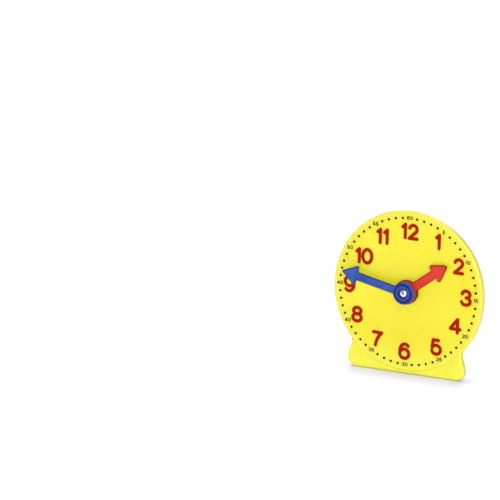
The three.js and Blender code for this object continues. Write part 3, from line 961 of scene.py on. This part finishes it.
def makeMinuteHand():
    low, high = nodeBox("minute_hand")
    back, crownFront = low.z, high.z
    form, past = hubForm, caseWork["overrun"]
    front = crownFront - form["crownRise"]
    radius, backEdge, boreEdge = form["minuteRadius"], form["backEdge"], form["counterboreEdge"]
    rimInner = radius - form["edge"] - form["rimWidth"]
    crownRadius = rimInner - form["grooveWidth"]
    grooveHalf, grooveRound = form["grooveWidth"] / 2, form["grooveRound"]
    groove = arcPoints(
        rimInner - grooveHalf, front - form["grooveDepth"] + grooveRound,
        grooveHalf - form["grooveDraft"], grooveRound, 0, -180, form["grooveSteps"])
    bore, boreFloor = form["counterbore"], crownFront - form["counterboreDepth"]
    hub = turned("minute_hand_hub", [
        (0, back),
        (radius - backEdge, back),
        (radius, back + backEdge),
        *hubEdge(radius, front),
        (rimInner + boreEdge, front),
        (rimInner, front - boreEdge),
        *groove,
        (crownRadius, crownFront - boreEdge),
        (crownRadius - boreEdge, crownFront),
        (bore + boreEdge, crownFront),
        (bore, crownFront - boreEdge),
        (bore, boreFloor),
        (0, boreFloor),
    ], form["sides"])
    arm = makeArm("minute_hand_arm", minuteForm, front - minuteForm["drop"])
    opening = cylinder(rimInner + boreEdge, back - past, crownFront + past, form["openingSides"])
    combine(arm, opening, "DIFFERENCE")
    combine(hub, arm)
    screwHole = cylinder(form["screwHole"], back + past, boreFloor + past, form["screwHoleSides"])
    combine(hub, screwHole, "DIFFERENCE")
    # the socket for the arbor's end: round, with one flat
    socket = cylinder(form["socket"], back - past, boreFloor - form["webThickness"], form["seatSides"])
    span = form["cutSpanShare"] * radius
    flat = cuboid(span, span, back - 2 * past, crownFront)
    flat.data.transform(Matrix.Translation((0, form["socketFlat"] - span / 2, 0)))
    combine(socket, flat, "INTERSECT")
    combine(hub, socket, "DIFFERENCE")
    finishHand(hub, minuteForm, radius, bluePlastic, blueWall, "minute_set", "hand_blue", "minute_hand")


makeHourHand()
makeMinuteHand()


print("screws")
screwForm = {
    "sideShare": 0.55,
    "edge": 0.12,
    "crownStart": 6,
    "crownSteps": 10,
    "pointLength": 0.9,
    "pointShare": 0.35,
    "recessSpanShare": 0.7,
    "recessWidthShare": 0.18,
    "recessDepthShare": 0.6,
    "recessTaper": 0.62,
    "recessLip": 0.04,
    "threadDepth": 0.22,
    "threadPitch": 0.9,
    "sides": 48,
}
handScrewForm = {"headRadius": 2.1, "headHeight": 1.2, "shank": 0.9, "recessTurn": 48}
coverScrewForm = {"headRadius": 2.6, "headHeight": 1.6, "shank": 1.2, "recessTurn": 17, "turnStep": 47}


def threadedProfile(shank, length):
    # ridges up the shank, from the blunt point to just under the head
    form = screwForm
    points = [(0, -length), (form["pointShare"] * shank, -length)]
    level = -length + form["pointLength"]
    while level < -form["threadPitch"]:
        points += [(shank, level), (shank - form["threadDepth"], level + form["threadPitch"] / 2)]
        level += form["threadPitch"]
    return [*points, (shank, level), (shank, 0)]


def makeScrew(name, values, length):
    # along Z with the seat at zero, a low crown and a tapered cross recess
    form = screwForm
    radius, height, edge = values["headRadius"], values["headHeight"], form["edge"]
    side = form["sideShare"] * height
    crown = arcPoints(0, side, radius, height - side, form["crownStart"], 90, form["crownSteps"])
    profile = [*threadedProfile(values["shank"], length), (radius - edge, 0), (radius, edge), *crown]
    screw = turned(name, profile, form["sides"])
    floor, taper = (1 - form["recessDepthShare"]) * height, form["recessTaper"]
    reach, halfWidth = form["recessSpanShare"] * radius, form["recessWidthShare"] * radius
    for slotX, slotY in ((reach, halfWidth), (halfWidth, reach)):
        slot = cuboid(2 * slotX, 2 * slotY, floor, height + caseWork["overrun"])
        editFaces(slot, lambda centre, normal: normal.z < -flatFacing)
        bpy.ops.transform.resize(value=(taper, taper, 1), center_override=(0, 0, floor))
        objectMode()
        combine(screw, slot, "DIFFERENCE")

    def inRecess(centre, normal):
        # under the crown's surface, within the cross, and not below its floor
        out = math.hypot(centre.x, centre.y)
        crownLevel = side + (height - side) * math.sqrt(max(0, 1 - (out / radius) ** 2))
        return out < reach and floor - weld < centre.z < crownLevel - form["recessLip"]

    # the recess faces in painted shade
    paint(screw, platedSteel, recessShadeSteel, inRecess)
    screw.data.transform(Matrix.Rotation(math.radians(values["recessTurn"]), 4, "Z"))
    return screw


def makeHandScrew():
    low, high = nodeBox("hand_screw")
    seat = high.z - handScrewForm["headHeight"]
    screw = makeScrew("hand_screw_turned", handScrewForm, seat - low.z)
    screw.data.transform(Matrix.Translation((0, 0, seat)))
    finishPiece(cleaned(screw), "minute_set", "plated_steel", "hand_screw")


def makeCoverScrews():
    low, high = nodeBox("cover_screw_1")
    seat = low.z + coverScrewForm["headHeight"]
    pattern = cleaned(makeScrew("cover_screw_pattern", coverScrewForm, high.z - seat))
    behind = Matrix.Rotation(math.pi, 4, "Y")
    for number, place in enumerate(coverScrews, 1):
        # each screw stopped at a turn of its own
        turn = Matrix.Rotation(math.radians(coverScrewForm["turnStep"] * number), 4, "Z")
        stand = Matrix.Translation((place.x, place.y, seat)) @ behind @ turn
        screw = copyOf(pattern, f"cover_screw_{number}_turned", stand)
        finishPiece(screw, "case", "plated_steel", f"cover_screw_{number}")
    bpy.data.objects.remove(pattern)


makeHandScrew()
makeCoverScrews()


print("printed dial")
printForm = {
    "hourStroke": 1.12,
    "minuteStroke": 0.92,
    "back": -0.05,
    "front": 0.09,
    "edge": 0.05,
    "ringRadius": 46.8,
    "minutes": 60,
    "minuteTurn": 6,
    "numberEvery": 5,
    "dotRadius": 0.81,
    "dotSides": 24,
    "minuteScale": 0.232,
    "minuteGap": 0.35,
    "minuteLift": 0.15,
    "edgeSteps": 2,
    "capSteps": 12,
    "ringSteps": 56,
    "flatAngle": 1,
}
# Each digit is drawn about its own middle, in millimetres at the size of the hour numbers. A stroke is a
# run of points, where an arc or curve ends with its count of steps, and a ring is its middle line's centre
# and half axes
glyphs = {
    "0": {"rings": [(0, 0, 3.1, 4.3)]},
    "1": {"strokes": [[(0, -4.2), (0, 4.2)], [(0, 4.15), (-1.8, 2.5)]]},
    "2": {"strokes": [
        [*arcPoints(-0.05, 1.7, 2.55, 2.5, 165, -40, 22), (-2.7, -4.2)],
        [(-2.7, -4.2), (2.7, -4.25)],
    ]},
    "3": {"strokes": [
        [*arcPoints(0, 2.25, 2.6, 2.2, 175, -75, 24), (0.2, 0.15)],
        arcPoints(0, -2.15, 2.95, 2.3, 75, -168, 24),
    ]},
    "4": {"strokes": [[(1.5, 4.2), (1.5, -4.2)], [(1.2, 4.1), (-3.2, -1.6)], [(-3.2, -1.9), (3.2, -1.9)]]},
    "5": {"strokes": [
        [(-2.2, 4.45), (1.5, 4.45)],
        [(-2.2, 4.45), (-2.7, -0.05)],
        arcPoints(0, -1.65, 3.0, 2.8, 150, -165, 28),
    ]},
    "6": {
        "rings": [(0.02, -1.63, 3.1, 2.95)],
        "strokes": [[*arcPoints(0.27, 0.07, 3.4, 4.5, 50, 180, 16), (-3.08, -1.63)]],
    },
    "7": {"strokes": [
        [(-2.9, 4.15), (2.9, 4.05)],
        curvePoints((2.8, 4.05), (0.6, 1.72), (-0.77, -1.02), (-1.3, -4.15), 14),
    ]},
    "8": {"rings": [(0, 2.35, 2.6, 2.05), (0, -2.05, 2.95, 2.35)]},
}
hourNumbers = {
    "1": [("1", 20.5, 34.2)],
    "2": [("2", 34.3, 20.4)],
    "3": [("3", 40.0, 1.05)],
    "4": [("4", 33.6, -17.6)],
    "5": [("5", 21.1, -32.75)],
    "6": [("6", -0.57, -38.27)],
    "7": [("7", -19.5, -32.75)],
    "8": [("8", -34.2, -18.85)],
    "9": [("9", -40.15, 0.1)],
    "10": [("1", -34.0, 19.2), ("0", -28.5, 19.2)],
    "11": [("1", -19.9, 33.3), ("1", -15.2, 33.3)],
    "12": [("1", -2.9, 38.5), ("2", 2.65, 38.4)],
}


def strokeOutline(path, radius):
    # a ribbon with round ends about a path
    def direction(first, second):
        length = math.dist(first, second)
        return (second[0] - first[0]) / length, (second[1] - first[1]) / length

    lines = [direction(a, b) for a, b in zip(path, path[1:])]
    left, right = [], []
    for index, (x, y) in enumerate(path):
        before, after = lines[max(index - 1, 0)], lines[min(index, len(lines) - 1)]
        alongX, alongY = direction((0, 0), (before[0] + after[0], before[1] + after[1]))
        left.append((x - radius * alongY, y + radius * alongX))
        right.append((x + radius * alongY, y - radius * alongX))
    endTurn = math.degrees(math.atan2(lines[-1][1], lines[-1][0]))
    startTurn = math.degrees(math.atan2(lines[0][1], lines[0][0]))
    steps = printForm["capSteps"]
    endCap = arcPoints(*path[-1], radius, radius, endTurn + 90, endTurn - 90, steps)
    startCap = arcPoints(*path[0], radius, radius, startTurn - 90, startTurn - 270, steps)
    return withoutRepeats([*left[:-1], *endCap, *reversed(right[1:-1]), *startCap])


def makeGlyph(digit, radius):
    # strokes and rings laid over each other and made one, with a slightly rounded rim
    form = printForm
    parts = []
    for x, y, radiusX, radiusY in glyphs[digit].get("rings", []):
        outline = arcPoints(x, y, radiusX + radius, radiusY + radius, 0, 360, form["ringSteps"])[:-1]
        parts.append(slab("ring", outline, form["back"], form["front"], ringWidth=2 * radius))
    for path in glyphs[digit].get("strokes", []):
        parts.append(slab("stroke", strokeOutline(path, radius), form["back"], form["front"]))
    glyph = parts[0]
    for part in parts[1:]:
        combine(glyph, part)
    glyph.name = "digit_" + digit
    editFaces(glyph, lambda centre, normal: abs(normal.z) > flatFacing)
    bpy.ops.mesh.dissolve_limited(angle_limit=math.radians(form["flatAngle"]))
    objectMode()
    return roundRim(glyph, form["front"], form["edge"], form["edgeSteps"])


def makeDigits(radius):
    digits = {digit: makeGlyph(digit, radius) for digit in glyphs}
    digits["9"] = copyOf(digits["6"], "digit_9", Matrix.Rotation(math.pi, 4, "Z"))
    return digits


def widthOf(digit):
    # where a digit starts and ends along X
    reach = [vertex.co.x for vertex in digit.data.vertices]
    return min(reach), max(reach)


def discard(*pieces):
    for piece in pieces:
        bpy.data.objects.remove(piece)


def onRing(minute):
    # the place of a minute on the ring of dots
    turn = math.radians(printForm["minuteTurn"] * minute)
    return printForm["ringRadius"] * math.sin(turn), printForm["ringRadius"] * math.cos(turn)


def finishPrint(parts, name, slot, ink):
    piece = joined(parts, name)
    paint(piece, ink)
    finishPiece(cleaned(piece), "case", slot)


def makeHourNumbers():
    digits = makeDigits(printForm["hourStroke"])
    parts = [
        copyOf(digits[digit], "hour_digit", Matrix.Translation((x, y, 0)))
        for number in hourNumbers.values() for digit, x, y in number]
    finishPrint(parts, "hour_numbers", "numeral_red", redInk)
    discard(*digits.values())


def makeMinuteNumbers():
    # the same digits drawn small, each number centred on the ring of dots
    form = printForm
    digits = makeDigits(form["minuteStroke"])
    every, scale, gap = form["numberEvery"], form["minuteScale"], form["minuteGap"]
    shrink = Matrix.Diagonal((scale, scale, 1, 1))
    parts = []
    for number in range(every, form["minutes"] + every, every):
        centreX, centreY = onRing(number)
        text = str(number)
        extents = [widthOf(digits[digit]) for digit in text]
        total = scale * sum(high - low for low, high in extents) + gap * (len(text) - 1)
        left = centreX - total / 2
        for digit, (low, high) in zip(text, extents):
            place = Matrix.Translation((left - scale * low, centreY + form["minuteLift"], 0))
            parts.append(copyOf(digits[digit], "minute_digit", place @ shrink))
            left += scale * (high - low) + gap
    finishPrint(parts, "minute_numbers", "dial_black", blackInk)
    discard(*digits.values())


def makeDots():
    # a round dot for every minute that has no number
    form = printForm
    dot = cylinder(form["dotRadius"], form["back"], form["front"], form["dotSides"], name="dot")
    roundRim(dot, form["front"], form["edge"], form["edgeSteps"])
    parts = [
        copyOf(dot, "dot_copy", Matrix.Translation((*onRing(minute), 0)))
        for minute in range(form["minutes"]) if minute % form["numberEvery"]]
    discard(dot)
    finishPrint(parts, "minute_dots", "dial_black", blackInk)


makeHourNumbers()
makeMinuteNumbers()
makeDots()


print("gear train")
trainFinishes = {
    "gear_plate": gearPlastic,
    "hour_wheel": gearPlastic,
    "minute_arbor": gearPlastic,
    "idler_gear": gearPlastic,
    "friction_washer": springSteel,
    "idler_pin": drawnSteel,
    "gear_plate_screw_1": platedSteel,
    "gear_plate_screw_2": platedSteel,
    "gear_plate_screw_3": platedSteel,
}
for node, material in trainFinishes.items():
    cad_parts[node].material_slots[0].material = material


print("studio")
studio = {
    "floorSize": 12,
    "floorColor": (0.78, 0.785, 0.98),
    "floorShade": 0.985,
    "floorCloud": (6, 3),
    "floorStops": (0.35, 0.65),
    "floorRoughness": 0.9,
    "floorShine": 0.1,
    "worldColor": (0.7, 0.78, 1),
    "worldStrength": 0.14,
    "cameraPlace": (0.84375, -1.85057, 0.50711),
    "cameraTurn": (77.986, -1.4836, 27.747),
    "cameraLens": 238.8,
    "cameraSensor": 36,
    "cameraReach": 20,
}
lights = {
    "key_light": {"comesFrom": (0.412, -0.9, 0.24), "angle": 14, "strength": 3.2},
    "sky_light": {"comesFrom": (-0.06, 0.12, 1.0), "angle": 44, "strength": 3.4},
    "back_light": {"comesFrom": (-0.3, 0.9, 0.38), "angle": 40, "strength": 1.6},
}


def makeFloor():
    deselectAll()
    bpy.ops.mesh.primitive_plane_add(size=studio["floorSize"], location=(0, 0, 0))
    floor = named("floor")
    material, tree, shader = newMaterial("floor_paper", studio["floorRoughness"])
    cloud = noise(tree, objectCoordinates(tree), *studio["floorCloud"])
    shaded = tuple(studio["floorShade"] * channel for channel in studio["floorColor"])
    setInputs(tree, shader, {
        "Base Color": ramp(tree, cloud, studio["floorStops"], shaded, studio["floorColor"]),
        "Specular IOR Level": studio["floorShine"],
    })
    paint(floor, material)


def addBroadLight(name, comesFrom, angle, strength):
    # an even light from one side, as soft as its angle is wide
    deselectAll()
    bpy.ops.object.light_add(type="SUN", location=comesFrom)
    light = bpy.context.object
    light.name = name
    light.data.angle = math.radians(angle)
    light.data.energy = strength
    light.rotation_euler = (-Vector(comesFrom)).to_track_quat("-Z", "Y").to_euler()


def makeStudio():
    makeFloor()
    world = bpy.data.worlds.new("white_room")
    world.use_nodes = True
    tree = world.node_tree
    setInputs(tree, tree.nodes["Background"], {
        "Color": (*studio["worldColor"], 1),
        "Strength": studio["worldStrength"],
    })
    bpy.context.scene.world = world
    for name, light in lights.items():
        addBroadLight(name, **light)
    bpy.context.scene.view_settings.view_transform = "Standard"
    bpy.context.scene.view_settings.look = "None"


def makeCamera():
    turn = [math.radians(angle) for angle in studio["cameraTurn"]]
    deselectAll()
    bpy.ops.object.camera_add(location=studio["cameraPlace"], rotation=turn)
    camera = bpy.context.object
    camera.name = "portrait_camera"
    camera.data.lens = studio["cameraLens"]
    camera.data.sensor_width = studio["cameraSensor"]
    camera.data.clip_end = studio["cameraReach"]
    bpy.context.scene.camera = camera


makeStudio()
makeCamera()
